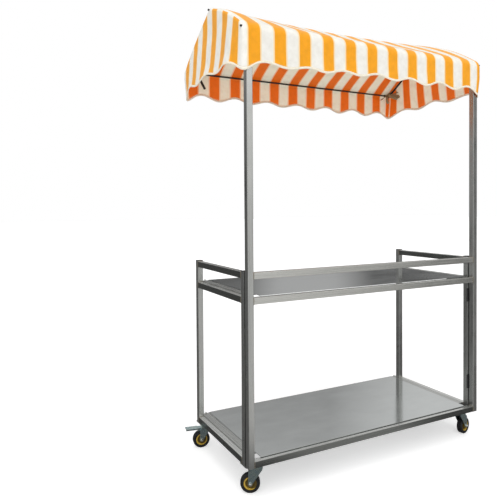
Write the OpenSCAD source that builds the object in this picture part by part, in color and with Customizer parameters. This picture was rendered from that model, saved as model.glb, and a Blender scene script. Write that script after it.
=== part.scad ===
// Folding push vending cart: a long front frame, two end frames hinged behind it, a loose
// counter and shelf, four plate casters and a lift-off striped canopy on two poles.
// Units are millimetres. +Z is up, the customer's side is -Y, and X = 0 is the middle.

/* [Frame] */
// Width over the end frames
cart_w = 1200; // [900:10:1600]
// Depth of an end frame, front post to back post
end_d = 485; // [380:5:560]
// Side of the square tube
tube = 25; // [20:1:40]
// Wall of the square tube
tube_wall = 1.2; // [1:0.1:3]
// Corner radius of the square tube
tube_r = 2; // [1.5:0.1:4]
// Gap between the front frame and the end frames, where the hinges sit
fold_gap = 8; // [8:0.5:14]
// Underside of the end frames above the tops of the wheels
frame_rise = 40; // [35:1:85]
// Top of the counter rails above the floor
counter_z = 745; // [600:5:950]
// Top of the handle rails above the floor
handle_z = 838; // [800:5:1100]
// Height of the posts above the handle rails
post_rise = 2; // [1:0.5:20]
// Head of a post cap
cap_t = 2; // [1:0.5:5]
// Depth of a post cap's plug
cap_plug = 14; // [8:1:30]

/* [Panels] */
// Thickness of the counter and shelf sheets
sheet_t = 1.5; // [0.8:0.1:4]
// Thickness of the ledge angles
ledge_t = 1.5; // [1:0.1:3]
// Height of the ledge angle's upright leg
ledge_leg = 18; // [8:1:22]
// How far a ledge reaches under a panel
ledge_grip = 3; // [2:0.5:8]
// Diameter of the stop studs on the ledges
stud_d = 5; // [3:0.5:8]
// Height of the stop studs
stud_h = 6; // [4:0.5:12]

/* [Hinges] */
// Height of a hinge
hinge_h = 60; // [45:1:90]
// Width of a hinge leaf
hinge_leaf = 24; // [16:1:26]
// Thickness of a hinge leaf
leaf_t = 1.5; // [1:0.1:2]
// Diameter of the hinge pins
pin_d = 4; // [3:0.5:4.5]
// Outer diameter of the hinge knuckles
knuckle_d = 7.4; // [6.8:0.1:7.6]
// Middle of the lower hinges above the floor
hinge_low_z = 250; // [200:5:350]
// Middle of the upper hinges above the floor
hinge_high_z = 660; // [450:5:680]

/* [Casters] */
// Wheel diameter
wheel_d = 75; // [60:1:90]
// Width of the tread
tread_w = 25; // [18:1:32]
// Depth of the tread ring
tread_t = 12.5; // [5:0.5:14]
// How far the wheel's hub stands out past the tread
hub_proud = 1; // [0.5:0.5:5]
// Diameter of the wheel's axle
axle_d = 8; // [6:0.5:12]
// Trail of the wheel behind its swivel
trail = 22; // [14:1:30]
// Side of the square top plate
plate_w = 50; // [46:1:70]
// Thickness of the top plate
plate_t = 3; // [2:0.5:5]
// Distance between the plate's holes
plate_hole_gap = 36; // [34:1:56]
// Diameter of the plate's screws
screw_d = 6; // [5:0.5:8]
// Thickness of the pads welded under the frame
pad_t = 4; // [3:0.5:8]
// Thickness of the fork sheet
fork_t = 2.5; // [2:0.1:4]
// Front swivel axes from the frame's outer face
front_swivel_x = 54; // [28:1:80]
// Front swivel axes from the front of the end frame
front_swivel_y = 15; // [10:1:60]
// Back swivel axes from the frame's outer face
back_swivel_x = 36; // [28:1:80]
// Back swivel axes from the back of the end frame
back_swivel_y = 18; // [10:1:60]
// Reach of a brake pedal from the swivel axis
pedal_reach = 92; // [75:1:94]
// Width of a brake pedal
pedal_w = 34; // [28:1:44]
// Direction of the left front wheel's trail
turn_left_front = 153; // [0:1:360]
// Direction of the right front wheel's trail
turn_right_front = 12; // [0:1:360]
// Direction of the left back wheel's trail, mirrored on the right
turn_back = 168; // [150:1:180]

/* [Canopy] */
// Depth of the canopy
canopy_d = 620; // [540:5:900]
// How far the cover stands out past the end frames
canopy_side = 16; // [8:1:60]
// How far the cover stands out past the front posts
canopy_front = 9; // [6:1:60]
// Lower edge of the cover above the floor
canopy_low_z = 1575; // [1400:5:1900]
// Front top edge of the cover above the floor
canopy_front_z = 1740; // [1650:5:2200]
// Ridge of the cover above the floor
canopy_ridge_z = 1898; // [1800:5:2400]
// Back fold of the cover above the floor
canopy_back_z = 1696; // [1620:5:2200]
// Ridge of the cover behind the canopy's middle
ridge_y = 5; // [-100:5:100]
// Sag of the ridge rod between the side arms
ridge_sag = 18; // [4:1:40]
// How far the front and ridge rods stand out through the cover's gables
rod_tip = 5; // [2:1:20]
// Radius of the cover's front top edge
canopy_front_r = 40; // [25:1:60]
// Radius of the cover's ridge
canopy_ridge_r = 24; // [20:1:60]
// Radius of the cover's back fold
canopy_back_r = 20; // [18:1:50]
// Thickness of the cover
cover_t = 3; // [2:0.5:5]
// Diameter of the bent side arms
arm_d = 10; // [8:0.5:14]
// Bend radius of the side arms' middle line
arm_bend = 15; // [12:1:30]
// Tops of the poles below the cover's front top edge
pole_drop = 28; // [24:1:60]
// Diameter of the cross rods
rod_d = 8; // [6:0.5:12]
// Length of the spigots inside the front posts
spigot_l = 120; // [60:5:200]
// Thickness of the spigot's wall
spigot_wall = 1.5; // [1:0.1:3]

/* [Clearances] */
// Gap between a panel and the ledge below it
ledge_gap = 0.4; // [0.3:0.1:1]
// Height of the front frame above the underside of the end frames
frame_lift = 0.5; // [0.3:0.1:1.5]
// Gap between a panel's edge and the folded posts
panel_gap = 2; // [1:0.5:5]
// How far a panel reaches over the front frame's rails
panel_lap = 6; // [1:1:15]
// Radial clearance of a turning pin or axle
run_gap = 0.05; // [0.02:0.01:0.1]
// Radial clearance of a pin that is held fast
fast_gap = 0.01; // [0.01:0.01:0.03]
// Gap beside a hinge knuckle, a hub or a race
side_gap = 0.3; // [0.3:0.1:1]
// Gap round a spigot inside its post
spigot_gap = 0.3; // [0.2:0.05:0.6]
// Gap under a pole on its post
pole_gap = 0.2; // [0.2:0.1:1]

/* [Hidden] */
$fn = 48;

STEEL = "#C9CCCC";
SHEET = "#D8DADA";
ZINC = "#B9C6C9";
BLACK = "#1B1B1C";
CORE = "#B58A2A";
STRIPE = "#F9A61C";
RIBBON = "#8E7F5F";

half_w = cart_w / 2;
// The canopy's middle is at Y = 0; the front frame stands just behind the cover's front.
front_y = -canopy_d / 2 + canopy_front;
front_back_y = front_y + tube;
end_y = front_back_y + fold_gap;
end_back_y = end_y + end_d;
post_top = handle_z + post_rise;

// Fold axis, seen from the middle of the cart: the knuckles lie in the gap.
axis_in = half_w - tube - fold_gap / 2;
axis_y = end_y - fold_gap / 2;
// Inner face of an end frame's front post once it has swung through 90 degrees.
folded_inner = axis_in - (tube + fold_gap / 2);
panel_half = folded_inner - panel_gap;
ledge_in = panel_half - ledge_grip;

// Underside of the end frames above the floor
frame_z = wheel_d + frame_rise;
shelf_rail_z = frame_z + tube + frame_lift;
counter_rail_z = counter_z + frame_lift;

wheel_r = wheel_d / 2;
race_t = 4;
head_t = 3;
race_r = 19;
king_r = 5;
plate_top = frame_z - pad_t;
plate_low = plate_top - plate_t;
race_low = plate_low - race_t;
fork_top = race_low - side_gap;
fork_r = 21;
hub_w = tread_w + 2 * hub_proud;
fork_in = hub_w / 2 + 1;
boss_r = 8.5;
nut_r = 7.5;
lever_skirt = 10;
lever_x = 17;
lever_z = wheel_d + 11;
lever_pin_r = 2.5;
lever_hub_r = 5;
lever_t = 3;

pole_top = canopy_front_z - pole_drop;
arm_x = half_w - tube / 2;
rod_gap = 2;
// The tube swells a little where it was bent.
bend_swell = 0.5;
bend_lap = 2;

// ---------- outline helpers ----------

function unit(v) = v / norm(v);
function left_of(v) = [-v[1], v[0]];

// Corner b of the line a-b-c, moved sideways by t to the left of the line's direction.
function mitre(a, b, c, t) =
  let (n1 = left_of(unit(b - a)), n2 = left_of(unit(c - b)))
  b + (n1 + n2) * t / (1 + n1 * n2);

// Arc of radius r that rounds corner b, as points from the line a-b to the line b-c.
function corner_arc(a, b, c, r, steps) =
  let (
    u = unit(b - a),
    w = unit(c - b),
    turn = acos(u * w),
    side = sign(u[0] * w[1] - u[1] * w[0]),
    start = b - u * r * tan(turn / 2),
    centre = start + left_of(u) * side * r,
    from = start - centre
  )
  [for (i = [0:steps]) let (q = side * turn * i / steps)
    centre + [from[0] * cos(q) - from[1] * sin(q), from[0] * sin(q) + from[1] * cos(q)]];

// Cover's outline in Y and Z, moved inwards by t: front hem, front edge, ridge, back fold, hem.
COVER_LINE = [
  [-canopy_d / 2, canopy_low_z],
  [-canopy_d / 2, canopy_front_z],
  [ridge_y, canopy_ridge_z],
  [canopy_d / 2, canopy_back_z],
  [canopy_d / 2, canopy_low_z]
];
function cover_corner(i, t) = mitre(COVER_LINE[i - 1], COVER_LINE[i], COVER_LINE[i + 1], -t);
function cover_outline(t, low) = concat(
  [[COVER_LINE[0][0] + t, low]],
  corner_arc([COVER_LINE[0][0] + t, low], cover_corner(1, t), cover_corner(2, t),
             canopy_front_r - t, 8),
  corner_arc(cover_corner(1, t), cover_corner(2, t), cover_corner(3, t),
             canopy_ridge_r - t, 6),
  corner_arc(cover_corner(2, t), cover_corner(3, t), [COVER_LINE[4][0] - t, low],
             canopy_back_r - t, 6),
  [[COVER_LINE[4][0] - t, low]]
);

// ---------- shape helpers ----------

// Square with round corners, centred.
module rounded_square(side, r) {
  square([side, side - 2 * r], center = true);
  square([side - 2 * r, side], center = true);
  for (x = [-1, 1], y = [-1, 1])
    translate([x * (side / 2 - r), y * (side / 2 - r)]) circle(r);
}

// Hollow square tube along +Z, with its middle on the axis.
module square_tube(length, side = tube, wall = tube_wall, r = tube_r) {
  linear_extrude(length) difference() {
    rounded_square(side, r);
    rounded_square(side - 2 * wall, max(r - wall, 0.3));
  }
}

// Tube from a point along Y or X.
module tube_y(length) rotate([-90, 0, 0]) square_tube(length);
module tube_x(length) rotate([0, 90, 0]) square_tube(length);

// Straight round rod between two points.
module rod(p, q, d) {
  v = q - p;
  translate(p) rotate([0, acos(v[2] / norm(v)), atan2(v[1], v[0])]) cylinder(d = d, h = norm(v));
}

// Places its children on one side: side is -1 for the left and 1 for the right.
module on_side(side) {
  if (side > 0) children();
  else mirror([1, 0, 0]) children();
}

// ---------- front frame ----------

module front_post(side) {
  color(STEEL) translate([side * (half_w - tube / 2), front_y + tube / 2, frame_z + frame_lift])
    square_tube(post_top - frame_z - frame_lift);
}

module front_rail(top) {
  color(STEEL) translate([-half_w + tube, front_y + tube / 2, top - tube / 2])
    tube_x(cart_w - 2 * tube);
}

// ---------- end frames, drawn on the right and mirrored for the left ----------

module end_post(back) {
  y = back ? end_back_y - tube / 2 : end_y + tube / 2;
  color(STEEL) translate([half_w - tube / 2, y, frame_z]) square_tube(post_top - frame_z);
}

module end_rail(top) {
  color(STEEL) translate([half_w - tube / 2, end_y + tube, top - tube / 2])
    tube_y(end_d - 2 * tube);
}

// Angle beside a rail: its upright leg is welded to the rail, its flat leg carries a panel.
module ledge(rail_top) {
  inner = half_w - tube;
  length = end_d - 2 * tube;
  translate([inner - ledge_t, end_y + tube, rail_top - ledge_leg])
    cube([ledge_t, length, ledge_leg]);
  translate([ledge_in, end_y + tube, rail_top])
    cube([inner - ledge_in, length + tube, ledge_t]);
}

module end_ledges() {
  stud_x = (panel_half + half_w - tube) / 2;
  color(STEEL) {
    for (z = [shelf_rail_z + side_gap, counter_rail_z + side_gap]) {
      ledge(z);
      translate([stud_x, end_back_y - stud_d / 2 - 1, z]) cylinder(d = stud_d, h = ledge_t + stud_h);
    }
  }
}

module post_cap() {
  translate([0, 0, post_top]) linear_extrude(cap_t) rounded_square(tube, tube_r);
  translate([0, 0, post_top - cap_plug]) linear_extrude(cap_plug)
    rounded_square(tube - 2 * tube_wall - 2 * fast_gap, max(tube_r - tube_wall, 0.3));
}

module end_caps() {
  color(BLACK)
    for (y = [end_y + tube / 2, end_back_y - tube / 2])
      translate([half_w - tube / 2, y, 0]) post_cap();
}

// Swivel axes in plan, front then back, on the right.
SWIVELS = [
  [half_w - front_swivel_x, end_y + front_swivel_y],
  [half_w - back_swivel_x, end_back_y - back_swivel_y]
];

// Screw places round a swivel axis.
SCREWS = [for (x = [-1, 1], y = [-1, 1]) [x, y] * plate_hole_gap / 2];

module end_pads() {
  color(STEEL)
    for (c = SWIVELS)
      difference() {
        translate([c[0] - plate_w / 2, c[1] - plate_w / 2, plate_top])
          cube([half_w - c[0] + plate_w / 2, plate_w, pad_t]);
        for (s = SCREWS)
          translate([c[0] + s[0], c[1] + s[1], plate_top - 1])
            cylinder(d = screw_d + 2 * fast_gap, h = pad_t + 2);
      }
}

module end_screws() {
  head_d = screw_d + 3;
  color(ZINC)
    for (c = SWIVELS, s = SCREWS)
      translate([c[0] + s[0], c[1] + s[1], 0]) {
        translate([0, 0, plate_low]) cylinder(d = screw_d, h = plate_t + pad_t);
        translate([0, 0, plate_low - head_t]) cylinder(d = head_d, h = head_t);
      }
}

// ---------- hinges, drawn on the right ----------

HINGE_ZS = [hinge_low_z - hinge_h / 2, hinge_high_z - hinge_h / 2];
knuckle_h = hinge_h / 3;
knuckle_clear = knuckle_d / 2 + side_gap;

// Heights of a leaf's knuckles within its hinge: the fixed leaf has two, the swinging one has one.
function knuckles(fixed) = fixed
  ? [[0, knuckle_h - side_gap], [2 * knuckle_h + side_gap, knuckle_h - side_gap]]
  : [[knuckle_h, knuckle_h]];

module hinge_leaf_set(fixed) {
  face_y = fixed ? front_back_y : end_y - leaf_t;
  bore_r = pin_d / 2 + (fixed ? fast_gap : run_gap);
  color(BLACK)
    for (z = HINGE_ZS)
      translate([0, 0, z]) difference() {
        union() {
          translate([axis_in + knuckle_clear, face_y, 0])
            cube([hinge_leaf - knuckle_clear, leaf_t, hinge_h]);
          for (k = knuckles(fixed)) {
            translate([axis_in, face_y, k[0]]) cube([hinge_leaf, leaf_t, k[1]]);
            translate([axis_in, axis_y, k[0]]) cylinder(d = knuckle_d, h = k[1]);
          }
        }
        translate([axis_in, axis_y, -1]) cylinder(r = bore_r, h = hinge_h + 2);
      }
}

module hinge_pin_set() {
  color(BLACK)
    for (z = HINGE_ZS)
      translate([axis_in, axis_y, z]) {
        cylinder(d = pin_d, h = hinge_h);
        translate([0, 0, hinge_h]) cylinder(d = knuckle_d - 1, h = 1.5);
        translate([0, 0, -1.5]) cylinder(d = knuckle_d - 1, h = 1.5);
      }
}

// ---------- loose panels ----------

module panel(rail_top) {
  y0 = front_back_y - panel_lap;
  color(SHEET) translate([-panel_half, y0, rail_top + side_gap + ledge_t + ledge_gap])
    cube([2 * panel_half, end_back_y - y0, sheet_t]);
}

// ---------- casters, drawn round the swivel axis with the wheel trailing along +X ----------

module at_caster(side, back, turn) {
  place = SWIVELS[back ? 1 : 0];
  translate([side * place[0], place[1], 0]) rotate(turn) children();
}

// The plate never turns, so it stays square with the frame.
module caster_plate(side, back) {
  color(ZINC) at_caster(side, back, 0) {
    difference() {
      translate([-plate_w / 2, -plate_w / 2, plate_low]) cube([plate_w, plate_w, plate_t]);
      for (s = SCREWS)
        translate([s[0], s[1], plate_low - 1])
          cylinder(d = screw_d + 2 * fast_gap, h = plate_t + 2);
    }
    translate([0, 0, race_low]) cylinder(r1 = race_r - 2, r2 = race_r, h = race_t);
    king_low = fork_top - race_t - side_gap;
    translate([0, 0, king_low]) cylinder(r = king_r, h = plate_low - king_low);
    translate([0, 0, king_low - head_t]) cylinder(r = king_r + 3, h = head_t);
  }
}

// Cheek of the fork: broad under the crown, its back edge sloping down over the wheel.
module fork_cheek() {
  rotate([90, 0, 0]) linear_extrude(fork_t, center = true) {
    polygon([
      [-fork_r - 5, fork_top - race_t / 2], [-fork_r - 3, fork_top - 12],
      [trail - boss_r, wheel_r + 1], [trail + boss_r, wheel_r + 1],
      [fork_r + 8, fork_top - 22], [fork_r - 11, fork_top - race_t / 2]
    ]);
    translate([trail, wheel_r]) circle(boss_r);
  }
}

module caster_fork(side, back, turn) {
  cheek_y = fork_in + fork_t / 2;
  color(ZINC) at_caster(side, back, turn) {
    difference() {
      union() {
        translate([0, 0, fork_top - race_t]) cylinder(r = fork_r, h = race_t);
        translate([-fork_r - 5, -fork_in - fork_t, fork_top - race_t])
          cube([2 * fork_r - 6, 2 * (fork_in + fork_t), race_t - 1]);
        for (y = [-cheek_y, cheek_y]) translate([0, y, 0]) fork_cheek();
      }
      translate([0, 0, fork_top - race_t - 1]) cylinder(r = king_r + run_gap, h = race_t + 2);
      translate([trail, 0, wheel_r]) rotate([90, 0, 0])
        cylinder(r = axle_d / 2 + fast_gap, h = 3 * hub_w, center = true);
      if (back) translate([lever_x, 0, lever_z]) rotate([90, 0, 0])
        cylinder(r = lever_pin_r + fast_gap, h = 3 * hub_w, center = true);
    }
  }
}

module at_axle(side, back, turn) {
  at_caster(side, back, turn) translate([trail, 0, wheel_r]) rotate([90, 0, 0]) children();
}

module wheel_core(side, back, turn) {
  rim_r = wheel_r - tread_t;
  color(CORE) at_axle(side, back, turn) difference() {
    union() {
      cylinder(r = rim_r, h = tread_w - 4, center = true);
      cylinder(r = 12, h = hub_w, center = true);
    }
    cylinder(r = axle_d / 2 + run_gap, h = 2 * hub_w, center = true);
    for (face = [-1, 1])
      translate([0, 0, face * tread_w / 2]) difference() {
        cylinder(r = rim_r - 5.5, h = 14, center = true);
        cylinder(r = 12, h = 16, center = true);
      }
  }
}

module tread(side, back, turn) {
  edge = 5;
  color(BLACK) at_axle(side, back, turn) rotate_extrude($fn = 96) {
    translate([wheel_r - tread_t, -tread_w / 2]) square([tread_t - edge, tread_w]);
    translate([wheel_r - edge, -tread_w / 2 + edge]) square([edge, tread_w - 2 * edge]);
    for (y = [-1, 1]) translate([wheel_r - edge, y * (tread_w / 2 - edge)]) intersection() {
      circle(edge);
      translate([0, y > 0 ? 0 : -edge]) square(edge);
    }
  }
}

module axle(side, back, turn) {
  outer = fork_in + fork_t;
  color(ZINC) at_axle(side, back, turn) {
    cylinder(d = axle_d, h = 2 * outer, center = true);
    for (face = [0, 180]) rotate([face, 0, 0]) translate([0, 0, outer]) {
      cylinder(r = nut_r, h = 4, $fn = 6);
      intersection() {
        translate([0, 0, 2]) sphere(nut_r - 1);
        cylinder(r = nut_r, h = nut_r + 4);
      }
    }
  }
}

// Brake lever: a hub on its pin between the cheeks, a shoe over the tread, and a broad pedal.
module brake_pedal(side, turn) {
  inner_w = 2 * fork_in - 1;
  skirt_t = fork_in - 0.5 - tread_w / 2 - 0.4;
  pedal_x = fork_r + 16;
  color(ZINC) at_caster(side, true, turn) {
    difference() {
      union() {
        translate([lever_x, 0, lever_z]) rotate([90, 0, 0])
          cylinder(r = lever_hub_r, h = inner_w, center = true);
        translate([lever_x, -inner_w / 2, lever_z + 1])
          cube([pedal_x + 2 - lever_x, inner_w, lever_t]);
        translate([lever_x + 4, -tread_w / 2 + 3, lever_z - 7])
          cube([lever_t, tread_w - 6, 8.5]);
        for (y = [-inner_w / 2, inner_w / 2 - skirt_t])
          translate([lever_x, y, lever_z + 1 - lever_skirt])
            cube([pedal_x - lever_x + 2, skirt_t, lever_skirt + 1]);
        translate([pedal_x, -pedal_w / 2, lever_z + 1])
          cube([pedal_reach - pedal_x, pedal_w, lever_t]);
        for (y = [-pedal_w / 2, pedal_w / 2 - lever_t / 2])
          translate([pedal_x, y, lever_z + 1 - lever_t])
            cube([pedal_reach - pedal_x, lever_t / 2, lever_t + 1]);
      }
      translate([lever_x, 0, lever_z]) rotate([90, 0, 0])
        cylinder(r = lever_pin_r + run_gap, h = 2 * inner_w, center = true);
    }
  }
}

// ---------- canopy ----------

module canopy_pole(side) {
  spigot_side = tube - 2 * tube_wall - 2 * spigot_gap;
  color(STEEL) translate([side * (half_w - tube / 2), front_y + tube / 2, 0]) {
    translate([0, 0, post_top + pole_gap]) square_tube(pole_top - post_top - pole_gap);
    translate([0, 0, post_top + pole_gap - spigot_l])
      square_tube(spigot_l, spigot_side, spigot_wall, 1.2);
    // Weld bridge between the spigot and the pole, inside the pole's foot.
    translate([0, 0, post_top + pole_gap]) linear_extrude(6) difference() {
      rounded_square(tube - 2 * tube_wall, 0.8);
      rounded_square(spigot_side - 2 * spigot_wall, 0.8);
    }
  }
}

arm_y = front_y + tube / 2;
stub_low = pole_top - 40;

// Middle line of a side arm: up out of the pole, to the ridge, down to the back fold.
ARM_INSET = cover_t + rod_d + arm_d / 2 + rod_gap;
ARM_POINTS = [
  [arm_y, stub_low],
  [arm_y, pole_top + cap_t + arm_bend],
  cover_corner(2, ARM_INSET),
  cover_corner(3, ARM_INSET)
];

// Bend at corner i of a side arm: its centre, its two ends, the angle that it turns through,
// and how far each straight run laps into it.
function arm_bend_at(i) =
  let (
    u = unit(ARM_POINTS[i] - ARM_POINTS[i - 1]),
    w = unit(ARM_POINTS[i + 1] - ARM_POINTS[i]),
    turn = acos(u * w),
    reach = arm_bend * tan(turn / 2),
    centre = ARM_POINTS[i] - u * reach - left_of(u) * arm_bend
  )
  [centre, ARM_POINTS[i] - u * reach, ARM_POINTS[i] + w * reach, turn, u * bend_lap, w * bend_lap];

module canopy_side_arm() {
  first = arm_bend_at(1);
  second = arm_bend_at(2);
  color(BLACK) translate([arm_x, 0, 0]) rotate([90, 0, 90]) {
    for (run = [[ARM_POINTS[0], first[1] + first[4]], [first[2] - first[5], second[1] + second[4]],
                [second[2] - second[5], ARM_POINTS[3]]])
      rod([run[0][0], run[0][1], 0], [run[1][0], run[1][1], 0], arm_d);
    for (bend = [first, second]) {
      spoke = bend[2] - bend[0];
      translate([bend[0][0], bend[0][1], 0]) rotate(atan2(spoke[1], spoke[0]))
        rotate_extrude(angle = bend[3], $fn = 120) translate([arm_bend, 0])
          circle(d = arm_d + 2 * bend_swell, $fn = 48);
    }
  }
}

module pole_cap() {
  inner = tube - 2 * tube_wall - 2 * fast_gap;
  color(BLACK) translate([half_w - tube / 2, arm_y, 0]) difference() {
    union() {
      translate([0, 0, pole_top]) linear_extrude(cap_t) rounded_square(tube, tube_r);
      translate([0, 0, pole_top - cap_plug]) linear_extrude(cap_plug) rounded_square(inner, 0.8);
    }
    translate([0, 0, pole_top - cap_plug - 1])
      cylinder(d = arm_d + 2 * fast_gap, h = cap_plug + cap_t + 2);
  }
}

// Cross rods lie on the side arms: on their two bends and on their back ends.
rod_rise = (arm_d + rod_d) / 2;
bend_rise = rod_rise + bend_swell;
rod_reach = half_w + canopy_side + rod_tip;
function rod_on_bend(i) =
  let (centre = arm_bend_at(i)[0])
  centre + unit(ARM_POINTS[i] - centre) * (arm_bend + bend_rise);
BACK_RUN = unit(ARM_POINTS[3] - ARM_POINTS[2]);
FRONT_ROD = rod_on_bend(1);
RIDGE_ROD = rod_on_bend(2);
BACK_ROD = ARM_POINTS[3] - BACK_RUN * rod_d / 2 + left_of(BACK_RUN) * rod_rise;

// Radius of the ridge rod's bow, which rests on the arms at X = arm_x, and its rise at an X.
bow_r = (arm_x * arm_x + ridge_sag * ridge_sag) / (2 * ridge_sag);
function bow_rise(x) = (x * x - arm_x * arm_x) / (2 * bow_r);

module cross_rods() {
  color(BLACK) {
    translate([-rod_reach, FRONT_ROD[0], FRONT_ROD[1]]) rotate([0, 90, 0])
      cylinder(d = rod_d, h = 2 * rod_reach);
    translate([-arm_x, BACK_ROD[0], BACK_ROD[1]]) rotate([0, 90, 0])
      cylinder(d = rod_d, h = 2 * arm_x);
    sweep = asin(rod_reach / bow_r);
    translate([0, RIDGE_ROD[0], RIDGE_ROD[1] - ridge_sag + bow_r])
      rotate([90, 0, 0]) rotate(-90 - sweep) rotate_extrude(angle = 2 * sweep, $fn = 1800)
        translate([bow_r, 0]) circle(d = rod_d, $fn = 48);
  }
}

module canopy_cover() {
  reach = half_w + canopy_side;
  color(STRIPE) {
    translate([-reach, 0, 0]) rotate([90, 0, 90]) linear_extrude(2 * reach) difference() {
      polygon(cover_outline(0, canopy_low_z));
      polygon(cover_outline(cover_t, canopy_low_z - 1));
    }
    for (x = [-reach, reach - cover_t])
      translate([x, 0, 0]) rotate([90, 0, 90]) linear_extrude(cover_t) difference() {
        polygon(cover_outline(0, canopy_low_z));
        translate(FRONT_ROD) circle(rod_d / 2 + side_gap);
        translate([RIDGE_ROD[0], RIDGE_ROD[1] + bow_rise(reach)]) circle(rod_d / 2 + 2 * side_gap);
      }
  }
}

// Ribbon wraps that tie the cover to the back rod at its two ends.
module cover_tie_wraps() {
  tie_w = 20;
  color(RIBBON)
    for (side = [-1, 1])
      translate([side * (half_w - 4 * tube), BACK_ROD[0], BACK_ROD[1]]) rotate([0, 90, 0]) difference() {
        cylinder(d = rod_d + 4, h = tie_w, center = true);
        cylinder(d = rod_d + 2 * fast_gap, h = 2 * tie_w, center = true);
      }
}

// ---------- nodes ----------

front_post(-1);  // front_post_left
front_post(1);  // front_post_right
front_rail(handle_z + frame_lift);  // front_upper_rail
front_rail(counter_rail_z);  // front_counter_rail
front_rail(shelf_rail_z);  // front_bottom_rail

on_side(-1) end_post(false);  // left_front_post
on_side(-1) end_post(true);  // left_back_post
on_side(-1) end_rail(handle_z);  // left_top_rail
on_side(-1) end_rail(counter_z);  // left_counter_rail
on_side(-1) end_rail(frame_z + tube);  // left_bottom_rail
on_side(-1) end_ledges();  // left_ledges
on_side(-1) end_caps();  // left_post_caps
on_side(-1) end_pads();  // left_caster_pads

on_side(1) end_post(false);  // right_front_post
on_side(1) end_post(true);  // right_back_post
on_side(1) end_rail(handle_z);  // right_top_rail
on_side(1) end_rail(counter_z);  // right_counter_rail
on_side(1) end_rail(frame_z + tube);  // right_bottom_rail
on_side(1) end_ledges();  // right_ledges
on_side(1) end_caps();  // right_post_caps
on_side(1) end_pads();  // right_caster_pads

on_side(-1) hinge_leaf_set(true);  // left_hinge_fixed_leaves
on_side(-1) hinge_leaf_set(false);  // left_hinge_swing_leaves
on_side(-1) hinge_pin_set();  // left_hinge_pins
on_side(1) hinge_leaf_set(true);  // right_hinge_fixed_leaves
on_side(1) hinge_leaf_set(false);  // right_hinge_swing_leaves
on_side(1) hinge_pin_set();  // right_hinge_pins

panel(counter_rail_z);  // counter_panel
panel(shelf_rail_z);  // lower_shelf

on_side(-1) end_screws();  // left_caster_screws
on_side(1) end_screws();  // right_caster_screws

caster_plate(-1, false);  // left_front_caster_plate
caster_fork(-1, false, turn_left_front);  // left_front_caster_fork
wheel_core(-1, false, turn_left_front);  // left_front_wheel_core
tread(-1, false, turn_left_front);  // left_front_tread
axle(-1, false, turn_left_front);  // left_front_axle

caster_plate(1, false);  // right_front_caster_plate
caster_fork(1, false, turn_right_front);  // right_front_caster_fork
wheel_core(1, false, turn_right_front);  // right_front_wheel_core
tread(1, false, turn_right_front);  // right_front_tread
axle(1, false, turn_right_front);  // right_front_axle

caster_plate(-1, true);  // left_back_caster_plate
caster_fork(-1, true, turn_back);  // left_back_caster_fork
wheel_core(-1, true, turn_back);  // left_back_wheel_core
tread(-1, true, turn_back);  // left_back_tread
axle(-1, true, turn_back);  // left_back_axle
brake_pedal(-1, turn_back);  // left_back_brake_pedal

caster_plate(1, true);  // right_back_caster_plate
caster_fork(1, true, 180 - turn_back);  // right_back_caster_fork
wheel_core(1, true, 180 - turn_back);  // right_back_wheel_core
tread(1, true, 180 - turn_back);  // right_back_tread
axle(1, true, 180 - turn_back);  // right_back_axle
brake_pedal(1, 180 - turn_back);  // right_back_brake_pedal

canopy_pole(-1);  // canopy_pole_left
canopy_pole(1);  // canopy_pole_right
union() {  // canopy_pole_caps
  pole_cap();
  on_side(-1) pole_cap();
}
union() {  // canopy_side_arms
  canopy_side_arm();
  on_side(-1) canopy_side_arm();
}
cross_rods();  // canopy_cross_rods
canopy_cover();
cover_tie_wraps();  // cover_ties
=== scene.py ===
"""Finishes and soft goods of a folding push vending cart, made round its fixed frame.

Every length is in metres. +Z is up, the customer's side is -Y, and X = 0 is the cart's middle.
"""

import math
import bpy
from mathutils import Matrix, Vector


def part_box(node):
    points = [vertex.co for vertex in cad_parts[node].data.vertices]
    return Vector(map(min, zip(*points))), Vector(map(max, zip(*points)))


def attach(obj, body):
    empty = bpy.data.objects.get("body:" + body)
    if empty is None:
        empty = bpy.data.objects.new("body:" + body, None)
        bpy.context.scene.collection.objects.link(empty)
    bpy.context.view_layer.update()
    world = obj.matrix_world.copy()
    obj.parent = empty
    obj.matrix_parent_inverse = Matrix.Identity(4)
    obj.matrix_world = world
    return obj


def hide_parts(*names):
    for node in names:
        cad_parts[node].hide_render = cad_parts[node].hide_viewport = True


bl_info = {
    "name": "Push Vending Cart",
    "version": (1, 0, 0),
    "blender": (4, 5, 0),
    "location": "View3D > Sidebar > Cart",
    "description": "Dresses a folding vending cart: steel, casters, striped cover, ribbons and stage",
    "category": "Object",
}

import bpy
import numpy as np
from bpy.props import FloatProperty, FloatVectorProperty, IntProperty, PointerProperty
from mathutils import Matrix

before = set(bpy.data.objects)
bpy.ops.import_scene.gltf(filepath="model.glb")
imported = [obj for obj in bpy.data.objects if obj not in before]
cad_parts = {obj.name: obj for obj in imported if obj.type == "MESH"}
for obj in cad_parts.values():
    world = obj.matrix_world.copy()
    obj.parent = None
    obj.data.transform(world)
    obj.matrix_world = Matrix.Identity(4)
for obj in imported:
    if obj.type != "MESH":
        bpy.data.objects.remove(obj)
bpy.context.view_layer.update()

MM = 0.001
# Values that most of a noise lies between.
NOISE = (0.3, 0.7)
SIDES = ("left", "right")
ENDS = ("front", "back")


# ---------------------------------------------------------------- colours and nodes


def hex_colour(text):
    """Linear RGB of an sRGB hex value: c / 12.92 below 0.04045, else ((c + 0.055) / 1.055) ** 2.4."""
    parts = [int(text[i : i + 2], 16) / 255 for i in (1, 3, 5)]
    return tuple(c / 12.92 if c <= 0.04045 else ((c + 0.055) / 1.055) ** 2.4 for c in parts)


def colour_property(name, text, description):
    """Colour swatch with an sRGB hex value as its default."""
    return FloatVectorProperty(
        name=name, description=description, subtype="COLOR", size=3, min=0, max=1, default=hex_colour(text)
    )


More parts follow.
